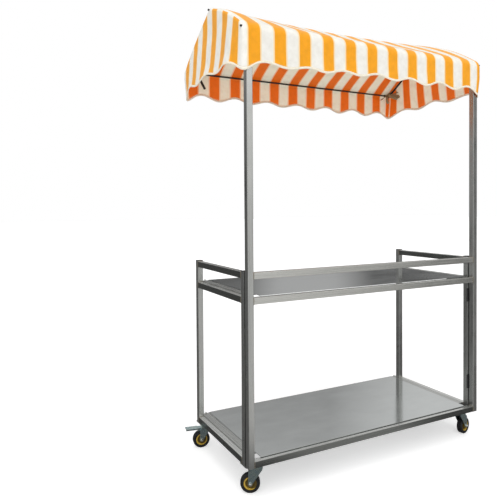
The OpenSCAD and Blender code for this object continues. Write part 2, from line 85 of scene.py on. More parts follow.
def length_property(name, value, description):
    """Length in metres."""
    return FloatProperty(name=name, description=description, default=value, unit="LENGTH", precision=4)


def number_property(name, value, description):
    """Plain number."""
    return FloatProperty(name=name, description=description, default=value, precision=4)


def shaded(colour, share, lift=0.0):
    """Colour times a share, plus a lift, at most white."""
    return tuple(min(1.0, c * share + lift) for c in colour)


def wire(tree, made, inputs):
    """Gives each named or numbered input of a node a value or a link; a colour gets alpha 1."""
    for name, value in inputs.items():
        socket = made.inputs[name]
        if isinstance(value, bpy.types.NodeSocket):
            tree.links.new(value, socket)
        else:
            socket.default_value = (*value[:3], 1.0) if socket.type == "RGBA" else value


def node(tree, kind, inputs=(), output=0, **settings):
    """Adds one node, sets its options and its inputs, and returns one of its outputs.

    The inputs are a dict by name or number, or a tuple in the node's own order.
    """
    made = tree.nodes.new("ShaderNode" + kind)
    for name, value in settings.items():
        setattr(made, name, value)
    wire(tree, made, inputs if isinstance(inputs, dict) else dict(enumerate(inputs)))
    return made.outputs[output]


def start_material(name, colour, **sockets):
    """New material with one Principled shader; returns the material, its tree and the shader."""
    material = bpy.data.materials.new(name)
    material.use_nodes = True
    tree = material.node_tree
    shader = tree.nodes["Principled BSDF"]
    plain = {socket.replace("_", " "): value for socket, value in sockets.items()}
    wire(tree, shader, {"Base Color": colour, **plain})
    return material, tree, shader


def stretched_noise(tree, size_mm, detail=2.0):
    """Noise on Object coordinates whose grain measures size_mm, one number or one for each axis."""
    scale = tuple(1 / (length * MM) for length in np.broadcast_to(size_mm, 3).tolist())
    mapped = node(tree, "Mapping", {"Vector": node(tree, "TexCoord", output="Object"), "Scale": scale})
    return node(tree, "TexNoise", {"Vector": mapped, "Scale": 1.0, "Detail": detail}, "Fac")


def two_tone(tree, pattern, first, second, low=NOISE[0], high=NOISE[1], most=1.0):
    """First colour where the pattern is at its low value, blending to the second at its high one."""
    share = node(tree, "MapRange", (pattern, low, high, 0, most))
    return node(tree, "Mix", {0: share, 6: first, 7: second}, 2, data_type="RGBA")


# ---------------------------------------------------------------- materials


def brushed_tube(name, colour, along, painted_shade_side_colour=None):
    """Welded stainless tube, belt-brushed along its length: long fine streaks and soft highlights.

    The streaks are 1.5 mm apart, coarser than real ones so that they show. With a side colour,
    the faces that don't look up get it as painted shade, and only the top keeps the lighter tone.
    """
    material, tree, shader = start_material(name, colour, Metallic=1.0)
    streak_mm = [1.5, 1.5, 1.5]
    streak_mm["XYZ".index(along)] = 180
    streaks = stretched_noise(tree, streak_mm, detail=3)
    stains = stretched_noise(tree, 90)
    fine = node(tree, "MapRange", (streaks, *NOISE, 0.2, 0.34))
    broad = node(tree, "MapRange", (stains, *NOISE, -0.03, 0.06))
    tone = two_tone(tree, streaks, shaded(colour, 0.82), shaded(colour, 1.1))
    # Painted shade: faces that don't look up get the darker side colour, for their dim reflections; the top
    # keeps the lighter tone.
    if painted_shade_side_colour:
        facing = node(tree, "NewGeometry", output="Normal")
        upward = node(tree, "SeparateXYZ", (facing,), "Z")
        top = node(tree, "MapRange", (upward, 0.5, 0.9, 0, 1))
        side = two_tone(tree, streaks, shaded(painted_shade_side_colour, 0.8), painted_shade_side_colour)
        tone = node(tree, "Mix", {0: top, 6: side, 7: tone}, 2, data_type="RGBA")
    inputs = {
        "Base Color": tone,
        "Roughness": node(tree, "Math", (fine, broad), operation="ADD"),
        "Normal": node(tree, "Bump", {"Height": streaks, "Distance": 0.05 * MM, "Strength": 0.4}),
    }
    wire(tree, shader, inputs)
    return material


def polished_sheet(name, colour):
    """Cold-rolled stainless sheet with a bright finish: mirror-like, faintly rolled along X, wiped."""
    material, tree, shader = start_material(name, colour, Metallic=1.0)
    rolled = stretched_noise(tree, (400, 3, 3), detail=3)
    wiped = stretched_noise(tree, (160, 90, 90), detail=4)
    wavy = stretched_noise(tree, (420, 260, 260), detail=1)
    fine = node(tree, "MapRange", (rolled, *NOISE, 0.07, 0.12))
    broad = node(tree, "MapRange", (wiped, *NOISE, 0.0, 0.07))
    inputs = {
        "Base Color": two_tone(tree, wiped, shaded(colour, 0.9), colour),
        "Roughness": node(tree, "Math", (fine, broad), operation="ADD"),
        "Normal": node(tree, "Bump", {"Height": wavy, "Distance": 0.25 * MM, "Strength": 0.35}),
    }
    wire(tree, shader, inputs)
    return material


def zinc_plate(name, colour):
    """Pressed steel with blue-passivated zinc: pale, slightly blue, cloudy, with a satin shine."""
    material, tree, shader = start_material(name, colour, Metallic=1.0)
    clouds = stretched_noise(tree, 14, detail=4)
    warm = (colour[0] * 1.12, colour[1] * 1.02, colour[2] * 0.86)
    grain = stretched_noise(tree, 0.8)
    inputs = {
        "Base Color": two_tone(tree, clouds, colour, warm),
        "Roughness": node(tree, "MapRange", (clouds, *NOISE, 0.18, 0.36)),
        "Normal": node(tree, "Bump", {"Height": grain, "Distance": 0.04 * MM, "Strength": 0.5}),
    }
    wire(tree, shader, inputs)
    return material


def painted_steel(name, colour, roughness):
    """Black stoved paint on steel: even, lightly orange-peeled, greyer where it is rubbed."""
    material, tree, shader = start_material(name, colour)
    rubbed = stretched_noise(tree, 30, detail=5)
    peel = stretched_noise(tree, 3)
    inputs = {
        "Base Color": two_tone(tree, rubbed, colour, shaded(colour, 2.2, 0.01), 0.5, 0.75, 0.6),
        "Roughness": node(tree, "MapRange", (rubbed, *NOISE, roughness - 0.07, roughness + 0.1)),
        "Normal": node(tree, "Bump", {"Height": peel, "Distance": 0.05 * MM, "Strength": 0.4}),
    }
    wire(tree, shader, inputs)
    return material


def moulded_cap(name, colour):
    """Injection-moulded polyethylene: waxy, with a fine spark-eroded grain."""
    material, tree, shader = start_material(name, colour, Roughness=0.5, IOR=1.5)
    grain = stretched_noise(tree, 0.7)
    inputs = {
        "Base Color": two_tone(tree, stretched_noise(tree, 18), shaded(colour, 0.8), colour),
        "Normal": node(tree, "Bump", {"Height": grain, "Distance": 0.05 * MM, "Strength": 0.5}),
    }
    wire(tree, shader, inputs)
    return material


def moulded_core(name, colour, low, high):
    """Moulded polyamide wheel core: gold rim, partly painted highlight; brown painted shade in groove and
    hub.

    The tone follows the distance from the axle, which runs across the middle of the box.
    """
    material, tree, shader = start_material(name, colour, Roughness=0.3)
    middle = (np.array(low) + np.array(high)) / 2
    place = node(tree, "TexCoord", output="Object")
    centred = node(tree, "Mapping", {"Vector": place, "Location": tuple(-middle)})
    flat = node(tree, "VectorMath", (centred, (1, 0, 1)), operation="MULTIPLY")
    reach = node(tree, "VectorMath", (flat,), "Value", operation="LENGTH")
    rim = (high[2] - low[2]) / 2
    # Painted shade: the groove and hub inside the rim turn brown.
    groove_painted_shade = node(tree, "MapRange", (reach, rim - 6.5 * MM, rim - 4.5 * MM, 1, 0))
    mottle = node(tree, "MapRange", (stretched_noise(tree, 9, detail=3), *NOISE, 0, 0.25))
    shade = node(tree, "Math", (groove_painted_shade, mottle), operation="ADD", use_clamp=True)
    grain = stretched_noise(tree, 1)
    inputs = {
        "Base Color": two_tone(tree, shade, colour, shaded(colour, 0.16), 0, 1),
        "Normal": node(tree, "Bump", {"Height": grain, "Distance": 0.05 * MM, "Strength": 0.5}),
    }
    wire(tree, shader, inputs)
    return material


def tread_rubber(name, colour):
    """Vulcanised rubber: nearly black, dull, with dust caught in its pores."""
    material, tree, shader = start_material(name, colour)
    pores = stretched_noise(tree, 1.2, detail=4)
    dust = stretched_noise(tree, 12, detail=5)
    inputs = {
        "Base Color": two_tone(tree, dust, colour, shaded(colour, 2.5, 0.012), 0.45, 0.75, 0.7),
        "Roughness": node(tree, "MapRange", (pores, *NOISE, 0.55, 0.8)),
        "Normal": node(tree, "Bump", {"Height": pores, "Distance": 0.15 * MM, "Strength": 0.6}),
    }
    wire(tree, shader, inputs)
    return material


def weld_metal(name, colour):
    """Weld metal left as it cooled: rippled, straw and grey from the heat."""
    material, tree, shader = start_material(name, colour, Metallic=1.0, Roughness=0.38)
    straw = (colour[0] * 1.05, colour[1] * 0.9, colour[2] * 0.68)
    wire(tree, shader, {"Base Color": two_tone(tree, stretched_noise(tree, 7, detail=3), colour, straw)})
    return material


def striped_polyester(name, sizes, bright, plain, edge, shade, glow=0.0):
    """Coated woven polyester, printed in broad stripes that have a narrow pale line at each edge.

    U runs across the stripes and V is the distance from the hem, both in metres on the cut cloth.
    A glow stands for daylight that comes through the cloth.
    """
    material, tree, shader = start_material(
        name, bright, Roughness=0.62, Sheen_Weight=0.15, Sheen_Roughness=0.4, Emission_Strength=glow
    )
    place = node(tree, "UVMap", uv_map="cut_cloth")
    across = node(tree, "SeparateXYZ", (place,), "X")
    from_hem = node(tree, "SeparateXYZ", (place,), "Y")
    shifted = node(tree, "Math", (across, sizes.stripe_start), operation="SUBTRACT")
    turns = node(tree, "Math", (shifted, sizes.stripe_pitch), operation="DIVIDE")
    turn = node(tree, "Math", (turns, 1.0, 0.0), operation="WRAP")
    # Distance from the middle of a bright stripe, as a share of the pitch: 0 to 0.5.
    past_middle = node(tree, "Math", (turn, 0.25), operation="SUBTRACT")
    off_middle = node(tree, "Math", (past_middle,), operation="ABSOLUTE")
    other_way = node(tree, "Math", (1.0, off_middle), operation="SUBTRACT")
    off_middle = node(tree, "Math", (off_middle, other_way), operation="MINIMUM")
    half = 0.25
    line = sizes.stripe_edge / sizes.stripe_pitch / 2
    soft = 0.004
    past_edge = node(tree, "Math", (off_middle, half), operation="SUBTRACT")
    near_edge = node(tree, "Math", (past_edge,), operation="ABSOLUTE")
    is_plain = node(tree, "MapRange", (off_middle, half - soft, half + soft, 0, 1))
    is_edge = node(tree, "MapRange", (near_edge, line - soft, line + soft, 1, 0))
    slub = stretched_noise(tree, 26, detail=4)
    bright_tone = two_tone(tree, slub, shaded(bright, 0.88), bright)
    plain_tone = two_tone(tree, slub, shade, plain)
    cloth = node(tree, "Mix", {0: is_plain, 6: bright_tone, 7: plain_tone}, 2, data_type="RGBA")
    cloth = node(tree, "Mix", {0: is_edge, 6: cloth, 7: edge}, 2, data_type="RGBA")
    # Row of stitches above the hem's binding: 3 mm stitches, 1 mm gaps.
    past_row = node(tree, "Math", (from_hem, sizes.stitch_height), operation="SUBTRACT")
    off_row = node(tree, "Math", (past_row,), operation="ABSOLUTE")
    on_row = node(tree, "Math", (off_row, 0.7 * MM), operation="LESS_THAN")
    step = node(tree, "Math", (across, 2 * MM), operation="PINGPONG")
    on_stitch = node(tree, "Math", (step, 1.5 * MM), operation="LESS_THAN")
    stitched = node(tree, "Math", (on_row, on_stitch), operation="MULTIPLY")
    cloth = node(tree, "Mix", {0: stitched, 6: cloth, 7: shaded(edge, 0.75)}, 2, data_type="RGBA")
    # Plain weave from two crossed waves, drawn every 2.4 mm, coarser than real so that it shows.
    waves = []
    for way in (across, from_hem):
        angle = node(tree, "Math", (way, 2 * math.pi / (2.4 * MM)), operation="MULTIPLY")
        waves.append(node(tree, "Math", (angle,), operation="SINE"))
    weave = node(tree, "Math", tuple(waves), operation="MULTIPLY")
    height = node(tree, "MapRange", (weave, -1, 1, 0, 1))
    normal = node(tree, "Bump", {"Height": height, "Distance": 0.12 * MM, "Strength": 0.5})
    wire(tree, shader, {"Base Color": cloth, "Normal": normal})
    if glow:
        wire(tree, shader, {"Emission Color": cloth})
    return material


def woven_tape(name, colour, dark_share):
    """Narrow woven tape with a crosswise rib every 1.6 mm, soft and matt."""
    material, tree, shader = start_material(name, colour, Roughness=0.8, Sheen_Weight=0.2)
    along = node(tree, "SeparateXYZ", (node(tree, "UVMap", uv_map="tape"),), "X")
    angle = node(tree, "Math", (along, 2 * math.pi / (1.6 * MM)), operation="MULTIPLY")
    wave = node(tree, "Math", (angle,), operation="SINE")
    rib = node(tree, "MapRange", (wave, -1, 1, 0, 1))
    slub = stretched_noise(tree, 9, detail=4)
    inputs = {
        "Base Color": two_tone(tree, slub, shaded(colour, dark_share), colour),
        "Normal": node(tree, "Bump", {"Height": rib, "Distance": 0.15 * MM, "Strength": 0.6}),
    }
    wire(tree, shader, inputs)
    return material


# Light that only metal mirrors: azimuth in degrees from +Y to +X, height, the brightness outside
# and inside, and the cosines of the angles at which it begins and is full.
FRONT_BOX = (-130, 0.10, 0.08, 0.75, -0.22, 0.45)
TOP_BOX = (153, 0.32, 0.0, 0.9, 0.93, 0.99)
BACK_BOX = (33, 0.14, 0.0, 0.34, 0.9925, 0.9985)
HIGH_BOX = (49, 0.36, 0.0, 0.40, 0.975, 0.998)
FLOOR_LIT = (175, 0.0, 0.12, 0.7, 0.72, 0.92)
FLOOR_GLOW = (175, 0.0, 0.08, 0.28, 0.6, 0.92)


def soft_box(tree, way, box):
    """Brightness of one light in a direction, from the cosine between the two."""
    azimuth, height, outside, inside, begins, full = box
    turn = math.radians(azimuth)
    middle = tuple(unit(np.array([math.sin(turn), math.cos(turn), height])))
    cosine = node(tree, "VectorMath", (way, middle), "Value", operation="DOT_PRODUCT")
    return node(tree, "MapRange", (cosine, begins, full, outside, inside))


def stage_floor(name, colour, lift):
    """Pale floor that the camera sees white, with the cart's shadow kept.

    Metal mirrors only the part that lies before the cart: the rest is dim, as in a dark studio.
    """
    material, tree, shader = start_material(name, colour, Roughness=0.9, Specular_IOR_Level=0.0)
    path = node(tree, "LightPath").node.outputs
    way = node(tree, "VectorMath", (node(tree, "TexCoord", output="Object"),), operation="NORMALIZE")
    unlit = node(tree, "Math", (1.0, soft_box(tree, way, FLOOR_LIT)), operation="SUBTRACT")
    hidden = node(tree, "Math", (path["Is Glossy Ray"], unlit), operation="MULTIPLY")
    seen = node(tree, "Math", (path["Is Camera Ray"], path["Is Transmission Ray"]), operation="MAXIMUM")
    shown = node(tree, "Math", (seen, lift), operation="MULTIPLY")
    glow = soft_box(tree, way, FLOOR_GLOW)
    mirrored = node(tree, "Math", (path["Is Glossy Ray"], glow), operation="MULTIPLY")
    strength = node(tree, "Math", (shown, mirrored), operation="ADD")
    wire(tree, shader, {"Base Color": two_tone(tree, hidden, colour, (0, 0, 0), 0, 1)})
    emission = node(tree, "Emission", {"Strength": strength})
    both = node(tree, "AddShader", (shader.outputs[0], emission))
    wire(tree, tree.nodes["Material Output"], {"Surface": both})
    return material


# ---------------------------------------------------------------- meshes


def make_piece(name, points, faces, body, materials):
    """Puts arrays of points and faces into a smooth mesh that rides on a body of the cart."""
    mesh = bpy.data.meshes.new(name)
    mesh.from_pydata(points.tolist(), [], faces)
    mesh.polygons.foreach_set("use_smooth", np.ones(len(mesh.polygons), dtype=bool))
    for material in materials:
        mesh.materials.append(material)
    mesh.update()
    made = bpy.data.objects.new(name, mesh)
    bpy.context.scene.collection.objects.link(made)
    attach(made, body)
    return made


def grid_faces(rows, columns, start=0, close_rows=False, close_columns=False):
    """Quads of a grid whose point (i, j) has number start + i * columns + j."""
    i = np.arange(rows if close_rows else rows - 1)[:, None]
    j = np.arange(columns if close_columns else columns - 1)[None, :]
    after_i, after_j = (i + 1) % rows, (j + 1) % columns
    row, next_row = i * columns, after_i * columns
    quads = np.stack([row + j, next_row + j, next_row + after_j, row + after_j], axis=-1)
    return (quads.reshape(-1, 4) + start).tolist()


def smooth_path(knots, count):
    """Points evenly spread in parameter along a Catmull-Rom curve through the knots."""
    knots = np.asarray(knots, float)
    padded = np.vstack([2 * knots[0] - knots[1], knots, 2 * knots[-1] - knots[-2]])
    t = np.linspace(0, len(knots) - 1 - 1e-9, count)
    k = t.astype(int)
    f = (t - k)[:, None]
    a, b, c, d = padded[k], padded[k + 1], padded[k + 2], padded[k + 3]
    return 0.5 * (2 * b + (c - a) * f + (2 * a - 5 * b + 4 * c - d) * f**2 + (3 * b - a - 3 * c + d) * f**3)


def unit(vectors):
    """Vectors at length one."""
    return vectors / np.maximum(np.linalg.norm(vectors, axis=-1, keepdims=True), 1e-12)


def ramp(value, width):
    """0 below nought, 1 above the width, and straight between them."""
    return np.clip(value / width, 0, 1)


def hump(distance, width):
    """Bell curve: 1 at no distance, and exp(-1) at the width."""
    return np.exp(-((distance / width) ** 2))


def distances(line):
    """Distance along a line of points, from its first point."""
    return np.concatenate([[0], np.cumsum(np.linalg.norm(np.diff(line, axis=0), axis=1))])


def sweep_section(path, side, up, section, closed):
    """Carries a closed section along a path: point = path + side * section x + up * section y."""
    rings = (
        path[:, None, :]
        + side[:, None, :] * section[None, :, 0, None]
        + up[:, None, :] * section[None, :, 1, None]
    )
    rows, columns = rings.shape[:2]
    faces = grid_faces(rows, columns, close_rows=closed, close_columns=True)
    if not closed:
        faces += [list(range(columns)), list(range((rows - 1) * columns, rows * columns))[::-1]]
    return rings.reshape(-1, 3), faces


def flip(faces):
    """Faces turned to look the other way."""
    return [face[::-1] for face in faces]


def join_shapes(shapes):
    """Several (points, faces) pairs as one."""
    points, faces, start = [], [], 0
    for part_points, part_faces in shapes:
        points.append(part_points)
        faces += [[n + start for n in face] for face in part_faces]
        start += len(part_points)
    return np.vstack(points), faces


def outward(made):
    """Turns every closed shell of a finished mesh so that its faces look outwards."""
    bpy.context.view_layer.objects.active = made
    bpy.ops.object.select_all(action="DESELECT")
    made.select_set(True)
    bpy.ops.object.mode_set(mode="EDIT")
    bpy.ops.mesh.select_all(action="SELECT")
    bpy.ops.mesh.normals_make_consistent(inside=False)
    bpy.ops.object.mode_set(mode="OBJECT")
    made.select_set(False)


# ---------------------------------------------------------------- sizes and colours


class SteelFinish(bpy.types.PropertyGroup):
    """Colours of the cart's metal and plastic."""

    post: colour_property("Posts", "#B7B8B5", "Brushed upright tubes")
    # Rail tops and rail sides are lit and painted-shade copies of one steel: the sides' darker colour is
    # painted shade.
    rail_top: colour_property("Rail tops", "#D6D7D4", "Tops of the rails, rubbed bright")
    rail_side_painted_shade: colour_property("Rail sides", "#7C7E7B", "Upright faces of the end and bottom rails")
    counter_rail: colour_property("Counter rails", "#CBCBC6", "Front rails at counter height")
    sheet: colour_property("Sheets", "#C3C6C5", "Counter and lower shelf")
    weld: colour_property("Welds", "#A9A59B", "Weld beads")
    black: colour_property("Black parts", "#1B1B1C", "Hinges, rods and caps")
    bead_radius: length_property("Weld bead", 1.4 * MM, "Radius of a weld bead")
    bead_ripple: length_property("Weld ripple", 2.2 * MM, "Distance between the ripples of a bead")


class CasterFinish(bpy.types.PropertyGroup):
    """Colours of the casters."""

    zinc: colour_property("Zinc", "#B4CAD1", "Plates, forks and pedals")
    tread: colour_property("Tread", "#0F1011", "Rubber tread")
    core: colour_property("Core", "#C9A640", "Wheel core")
    nut: colour_property("Nut", "#D2D6D6", "Axle bolts and nuts")


class CoverSizes(bpy.types.PropertyGroup):
    """Sizes of the canopy's cover."""

    front_fold_z: length_property("Front edge", 1.740, "Height of the front top edge")
    ridge_z: length_property("Ridge", 1.898, "Height of the ridge")
    back_fold_z: length_property("Back fold", 1.696, "Height of the back fold")
    ridge_y: length_property("Ridge place", 0.005, "Ridge behind the canopy's middle")
    front_radius: length_property("Front radius", 0.036, "Radius of the front top edge")
    ridge_radius: length_property("Ridge radius", 0.024, "Radius of the ridge")
    back_radius: length_property("Back radius", 0.020, "Radius of the back fold")
    side_radius: length_property("Side radius", 0.016, "Radius where the gables meet the roof")
    cloth: length_property("Cloth", 0.0012, "Thickness of the coated cloth")
    stripe_pitch: length_property("Stripe pitch", 0.1089, "One bright and one plain stripe")
    stripe_start: length_property("Stripe start", -0.0543, "Left edge of the bright stripe at the middle")
    stripe_edge: length_property("Stripe edge", 0.006, "Width of the pale line at a stripe's edge")
    stitch_height: length_property("Stitch row", 0.012, "Stitch row above the hem")
    wave_pitch: length_property("Hem wave", 0.176, "Length of one wave of the front and back hem")
    wave_height: length_property("Hem wave height", 0.0095, "Half the height of the hem's wave")
    hem_front_z: length_property("Front hem", 1.610, "Mean height of the front hem")
    hem_back_z: length_property("Back hem", 1.590, "Mean height of the back hem")
    front_bulge: length_property("Front bulge", 0.016, "How far the front slope's ends stand out")
    back_bulge: length_property("Back bulge", 0.012, "How far the back slope's ends stand out")
    roof_sag: length_property("Roof sag", 0.006, "Sag of the roof's middle between its rods")
    front_dip: length_property("Front dip", 0.004, "How far the front edge's middle lies below its ends")
    ridge_sag: length_property("Ridge sag", 0.0155, "How far the ridge hangs below its ends")
    gable_flare: length_property("Gable flare", 0.020, "How far a gable's hem swings out")
    right_gather: length_property("Right gather", 0.020, "Extra cloth gathered at the front's right end")
    gable_fold: length_property("Gable fold", 0.014, "How far the fold near a gable's front stands out")
    binding_height: length_property("Binding", 0.008, "Height of the tape that binds the hem")
    columns: IntProperty(name="Columns", description="Grid columns across the roof", default=176)
    half_rows: IntProperty(name="Rows", description="Grid rows from a hem to the ridge", default=66)
    gable_columns: IntProperty(name="Gable columns", description="Grid columns across a gable", default=84)


class CoverColours(bpy.types.PropertyGroup):
    """Colours of the cover, its ties and its rods."""

    bright: colour_property("Bright stripe", "#FFAA08", "Outer bright stripe")
    plain: colour_property("Plain stripe", "#F9F7F0", "Outer plain stripe")
    plain_shade: colour_property("Plain stripe's shade", "#EDEAE2", "Cloudiness of the plain stripe")
    edge: colour_property("Stripe edge", "#FBE3B4", "Pale line at a stripe's edge")
    bright_inside: colour_property("Bright inside", "#EA6C00", "Inner side of the bright stripe")
    plain_inside: colour_property("Plain inside", "#F0EEDA", "Inner side of the plain stripe")
    edge_inside: colour_property("Edge inside", "#F0BE94", "Inner side of the stripe's edge")
    daylight: number_property("Daylight", 0.24, "Glow of the inner side, for light through the cloth")
    binding: colour_property("Binding", "#FBF3DF", "Tape round the hem")
    ribbon: colour_property("Ribbon", "#B09E78", "Ribbon of the right tie")
    strap: colour_property("Strap", "#2B2621", "Strap of the left tie")


class StageSettings(bpy.types.PropertyGroup):
    """Floor, light and camera."""

    floor: colour_property("Floor", "#E6E6E6", "Floor")
    lift: number_property("Floor lift", 0.50, "Glow that brings the floor to white")
    sky: number_property("Sky", 0.50, "Light from all round")
    key: number_property("Key", 0.5, "Overhead lamp")
    fill: number_property("Fill", 1.7, "Lamp from the customer's side")
    camera_place: FloatVectorProperty(
        name="Camera", description="Place of the camera", subtype="XYZ", default=(-1.4722, -2.0332, 1.0787)
    )
    heading: number_property("Heading", 27.573, "Turn from +Y to +X, in degrees")
    tilt: number_property("Tilt", -0.982, "Tilt above the horizon, in degrees")
    roll: number_property("Roll", -0.341, "Roll, in degrees")
    lens: number_property("Lens", 38.727, "Focal length on a 36 mm sensor, in millimetres")
    shift_x: number_property("Shift X", -0.01352, "Sideways shift")
    shift_y: number_property("Shift Y", -0.06512, "Upward shift")


# ---------------------------------------------------------------- operators


def dress(names, material):
    """Gives CAD nodes a material."""
    for name in names:
        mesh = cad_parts[name].data
        mesh.materials.clear()
        mesh.materials.append(material)


def weld_loop(centre, normal_axis, side, radius, ripple):
    """Bead round a square tube's end: a circle carried round a square with round corners.

    The circle's radius swells by a sixth with each ripple along the path.
    """
    half, corner, steps = side / 2, 2 * MM, 8
    quarter = np.linspace(0, math.pi / 2, steps, endpoint=False)
    angles = np.concatenate([quarter + k * math.pi / 2 for k in range(4)])
    signs = np.repeat([[1, 1], [-1, 1], [-1, -1], [1, -1]], steps, axis=0)
    ring = signs * (half - corner) + corner * np.stack([np.cos(angles), np.sin(angles)], axis=1)
    # Straight sides get points of their own, so that the ripples show on them.
    ring = np.concatenate([ring, ring[:1]])
    along = distances(ring)
    count = int(along[-1] / ripple) * 4
    spots = np.linspace(0, along[-1], count, endpoint=False)
    flat = np.stack([np.interp(spots, along, ring[:, 0]), np.interp(spots, along, ring[:, 1])], axis=1)
    out = unit(np.roll(flat, -1, axis=0) - np.roll(flat, 1, axis=0))[:, ::-1] * (1, -1)
    swell = 1 + 0.16 * np.sin(2 * math.pi * spots / ripple)
    turn = np.linspace(0, 2 * math.pi, 6, endpoint=False)
    reach = radius * swell[:, None] * np.cos(turn)[None, :]
    lift = radius * swell[:, None] * np.sin(turn)[None, :]
    plane = flat[:, None, :] + out[:, None, :] * reach[:, :, None]
    axes = [a for a in range(3) if a != normal_axis]
    points = np.zeros((count, 6, 3))
    points[:, :, axes[0]] = plane[:, :, 0]
    points[:, :, axes[1]] = plane[:, :, 1]
    points[:, :, normal_axis] = lift
    return points.reshape(-1, 3) + centre, grid_faces(count, 6, close_rows=True, close_columns=True)


def weld_beads(name, body, rails, axis, finish, material, ground=()):
    """Beads at both ends of each rail of one welded frame; a ground rail's are flush below."""
    shapes = []
    for rail in rails:
        low, high = (np.array(corner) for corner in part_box(rail))
        side = high[2] - low[2]
        for end in (low, high):
            centre = (low + high) / 2
            centre[axis] = end[axis]
            loop, loop_faces = weld_loop(centre, axis, side, finish.bead_radius, finish.bead_ripple)
            if rail in ground:
                loop[:, 2] = np.maximum(loop[:, 2], low[2] + 0.2 * MM)
            shapes.append((loop, loop_faces))
    points, faces = join_shapes(shapes)
    made = make_piece(name, points, faces, body, [material])
    outward(made)


class CART_OT_front_frame(bpy.types.Operator):
    """Finishes the long front frame and its poles"""

    bl_idname = "cart.front_frame"
    bl_label = "Front Frame"

    def execute(self, context):
        finish = context.scene.cart_steel
        posts = brushed_tube("brushed_stainless_post", finish.post, "Z")
        dress(["front_post_left", "front_post_right", "canopy_pole_left", "canopy_pole_right"], posts)
        rails = brushed_tube("brushed_stainless_counter_rail", finish.counter_rail, "X")
        dress(["front_upper_rail", "front_counter_rail"], rails)
        # The bottom rail's upright and lower faces get painted shade.
        low = brushed_tube("painted_shade_sided_front_rail", finish.rail_top, "X", finish.rail_side_painted_shade)
        dress(["front_bottom_rail"], low)
        names = ["front_upper_rail", "front_counter_rail", "front_bottom_rail"]
        bead = weld_metal("cooled_weld_front", finish.weld)
        # The end frames' caster pads fold in close below the bottom rail.
        weld_beads("front_weld_beads", "front_frame", names, 0, finish, bead, ground=names[2:])
        return {"FINISHED"}


class CART_OT_end_frames(bpy.types.Operator):
    """Finishes the two end frames, their ledges, pads and post caps"""

    bl_idname = "cart.end_frames"
    bl_label = "End Frames"

    def execute(self, context):
        finish = context.scene.cart_steel
        posts = brushed_tube("brushed_stainless_end_post", finish.post, "Z")
        # The end rails' upright and lower faces get painted shade.
        rails = brushed_tube("painted_shade_sided_end_rail", finish.rail_top, "Y", finish.rail_side_painted_shade)
        angles = brushed_tube("brushed_stainless_ledge", finish.post, "Y")
        caps = moulded_cap("moulded_black_post_cap", finish.black)
        bead = weld_metal("cooled_weld_end", finish.weld)
        for side in SIDES:
            dress([f"{side}_front_post", f"{side}_back_post"], posts)
            dress([f"{side}_top_rail", f"{side}_counter_rail", f"{side}_bottom_rail"], rails)
            dress([f"{side}_ledges", f"{side}_caster_pads"], angles)
            dress([f"{side}_post_caps"], caps)
            names = [f"{side}_top_rail", f"{side}_counter_rail", f"{side}_bottom_rail"]
            weld_beads(f"{side}_weld_beads", f"{side}_end", names, 1, finish, bead)
        return {"FINISHED"}


class CART_OT_panels(bpy.types.Operator):
    """Finishes the counter and the lower shelf"""

    bl_idname = "cart.panels"
    bl_label = "Panels"

    def execute(self, context):
        sheet = polished_sheet("bright_rolled_stainless_sheet", context.scene.cart_steel.sheet)
        dress(["counter_panel", "lower_shelf"], sheet)
        return {"FINISHED"}


class CART_OT_hinges(bpy.types.Operator):
    """Finishes the hinges"""

    bl_idname = "cart.hinges"
    bl_label = "Hinges"

    def execute(self, context):
        paint = painted_steel("stoved_black_hinge", context.scene.cart_steel.black, 0.42)
        for side in SIDES:
            dress([f"{side}_hinge_{part}" for part in ("fixed_leaves", "swing_leaves", "pins")], paint)
        return {"FINISHED"}


class CART_OT_casters(bpy.types.Operator):
    """Finishes the four casters"""

    bl_idname = "cart.casters"
    bl_label = "Casters"

    def execute(self, context):
        finish = context.scene.cart_casters
        zinc = zinc_plate("blue_zinc_pressing", finish.zinc)
        bolt = zinc_plate("bright_zinc_bolt", finish.nut)
        rubber = tread_rubber("vulcanised_tread", finish.tread)
        for side in SIDES:
            dress([f"{side}_caster_screws"], bolt)
            dress([f"{side}_back_brake_pedal"], zinc)
            for end in ENDS:
                dress([f"{side}_{end}_caster_plate", f"{side}_{end}_caster_fork"], zinc)
                dress([f"{side}_{end}_axle"], bolt)
                name = f"{side}_{end}_wheel_core"
                dress([name], moulded_core(f"moulded_amber_{side}_{end}", finish.core, *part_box(name)))
                dress([f"{side}_{end}_tread"], rubber)
        return {"FINISHED"}


class CART_OT_canopy_frame(bpy.types.Operator):
    """Finishes the canopy's arms, cross rods and pole caps"""

    bl_idname = "cart.canopy_frame"
    bl_label = "Canopy Frame"

    def execute(self, context):
        finish = context.scene.cart_steel
        paint = painted_steel("stoved_black_rod", finish.black, 0.35)
        dress(["canopy_side_arms", "canopy_cross_rods"], paint)
        caps = moulded_cap("moulded_black_pole_cap", finish.black)
        dress(["canopy_pole_caps"], caps)
        return {"FINISHED"}


# ---------------------------------------------------------------- canopy cover


def rounded_corner(before, corner, after, radius, steps=16):
    """Circular arc that rounds a corner, from the first straight to the second."""
    u, w = unit(corner - before), unit(after - corner)
    turn = math.acos(float(u @ w))
    side = math.copysign(1, u[0] * w[1] - u[1] * w[0])
    start = corner - u * radius * math.tan(turn / 2)
    centre = start + np.array([-u[1], u[0]]) * side * radius
    angle = side * turn * np.linspace(0, 1, steps)
    x, y = start - centre
    turned = [x * np.cos(angle) - y * np.sin(angle), x * np.sin(angle) + y * np.cos(angle)]
    return centre + np.stack(turned, axis=1)


def even_points(line, count):
    """The same line as points an equal distance apart."""
    along = distances(line)
    spots = np.linspace(0, along[-1], count)
    return np.stack([np.interp(spots, along, line[:, k]) for k in range(2)], axis=1)


